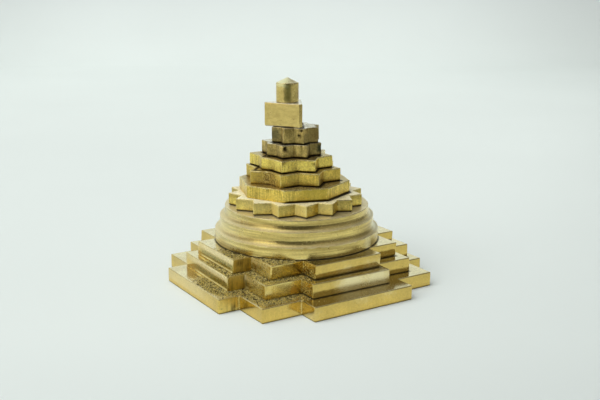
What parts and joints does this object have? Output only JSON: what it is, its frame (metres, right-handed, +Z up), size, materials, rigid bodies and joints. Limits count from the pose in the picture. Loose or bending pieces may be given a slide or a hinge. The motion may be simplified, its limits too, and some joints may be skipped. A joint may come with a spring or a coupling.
{
  "type": "meru shri yantra",
  "caption": "Stepped brass meru shri yantra: a loose pile of gated square plates, a turned ring disc and star plates, topped by a three-sided block and a cone-tipped bindu.",
  "frame": {"origin": "middle of the lower square plate's underside, on the surface the object stands on", "axes": "+Z up through the pile; X and Y along the gates of the lower square plate"},
  "size_m": [0.05, 0.05, 0.043],
  "materials": {
    "plate_brass": "worn polished sheet brass, cut edges, dirt in the corners",
    "turned_brass": "satin lathe-turned brass with fine rings",
    "star_brass": "worn brass with fine upright cut marks on the edges",
    "dull_brass": "tarnished, pitted olive-brown brass",
    "crown_brass": "smooth polished brass with faint brush lines"
  },
  "bodies": {
    "lower_square_plate": {"lower_square_plate": "plate_brass"},
    "middle_square_plate": {"middle_square_plate": "plate_brass"},
    "upper_square_plate": {"upper_square_plate": "plate_brass"},
    "ring_disc": {"ring_disc": "turned_brass"},
    "sixteen_point_plate": {"sixteen_point_plate": "star_brass"},
    "octagon_plate": {"octagon_plate": "star_brass"},
    "first_star_plate": {"first_star_plate": "star_brass"},
    "second_star_plate": {"second_star_plate": "star_brass"},
    "third_star_plate": {"third_star_plate": "dull_brass"},
    "fourth_star_plate": {"fourth_star_plate": "dull_brass"},
    "triangle_block": {"triangle_block": "crown_brass"},
    "bindu": {"bindu": "crown_brass"}
  },
  "joints": [
    {"name": "middle_square_plate_lift", "type": "slide", "parent": "lower_square_plate", "child": "middle_square_plate", "axis": [0, 0, 1], "range_m": [0, 0.015]},
    {"name": "upper_square_plate_lift", "type": "slide", "parent": "middle_square_plate", "child": "upper_square_plate", "axis": [0, 0, 1], "range_m": [0, 0.015]},
    {"name": "ring_disc_lift", "type": "slide", "parent": "upper_square_plate", "child": "ring_disc", "axis": [0, 0, 1], "range_m": [0, 0.015]},
    {"name": "sixteen_point_plate_lift", "type": "slide", "parent": "ring_disc", "child": "sixteen_point_plate", "axis": [0, 0, 1], "range_m": [0, 0.015]},
    {"name": "octagon_plate_lift", "type": "slide", "parent": "sixteen_point_plate", "child": "octagon_plate", "axis": [0, 0, 1], "range_m": [0, 0.015]},
    {"name": "first_star_plate_lift", "type": "slide", "parent": "octagon_plate", "child": "first_star_plate", "axis": [0, 0, 1], "range_m": [0, 0.015]},
    {"name": "second_star_plate_lift", "type": "slide", "parent": "first_star_plate", "child": "second_star_plate", "axis": [0, 0, 1], "range_m": [0, 0.015]},
    {"name": "third_star_plate_lift", "type": "slide", "parent": "second_star_plate", "child": "third_star_plate", "axis": [0, 0, 1], "range_m": [0, 0.015]},
    {"name": "fourth_star_plate_lift", "type": "slide", "parent": "third_star_plate", "child": "fourth_star_plate", "axis": [0, 0, 1], "range_m": [0, 0.015]},
    {"name": "triangle_block_lift", "type": "slide", "parent": "fourth_star_plate", "child": "triangle_block", "axis": [0, 0, 1], "range_m": [0, 0.015]},
    {"name": "bindu_lift", "type": "slide", "parent": "triangle_block", "child": "bindu", "axis": [0, 0, 1], "range_m": [0, 0.015]}
  ]
}
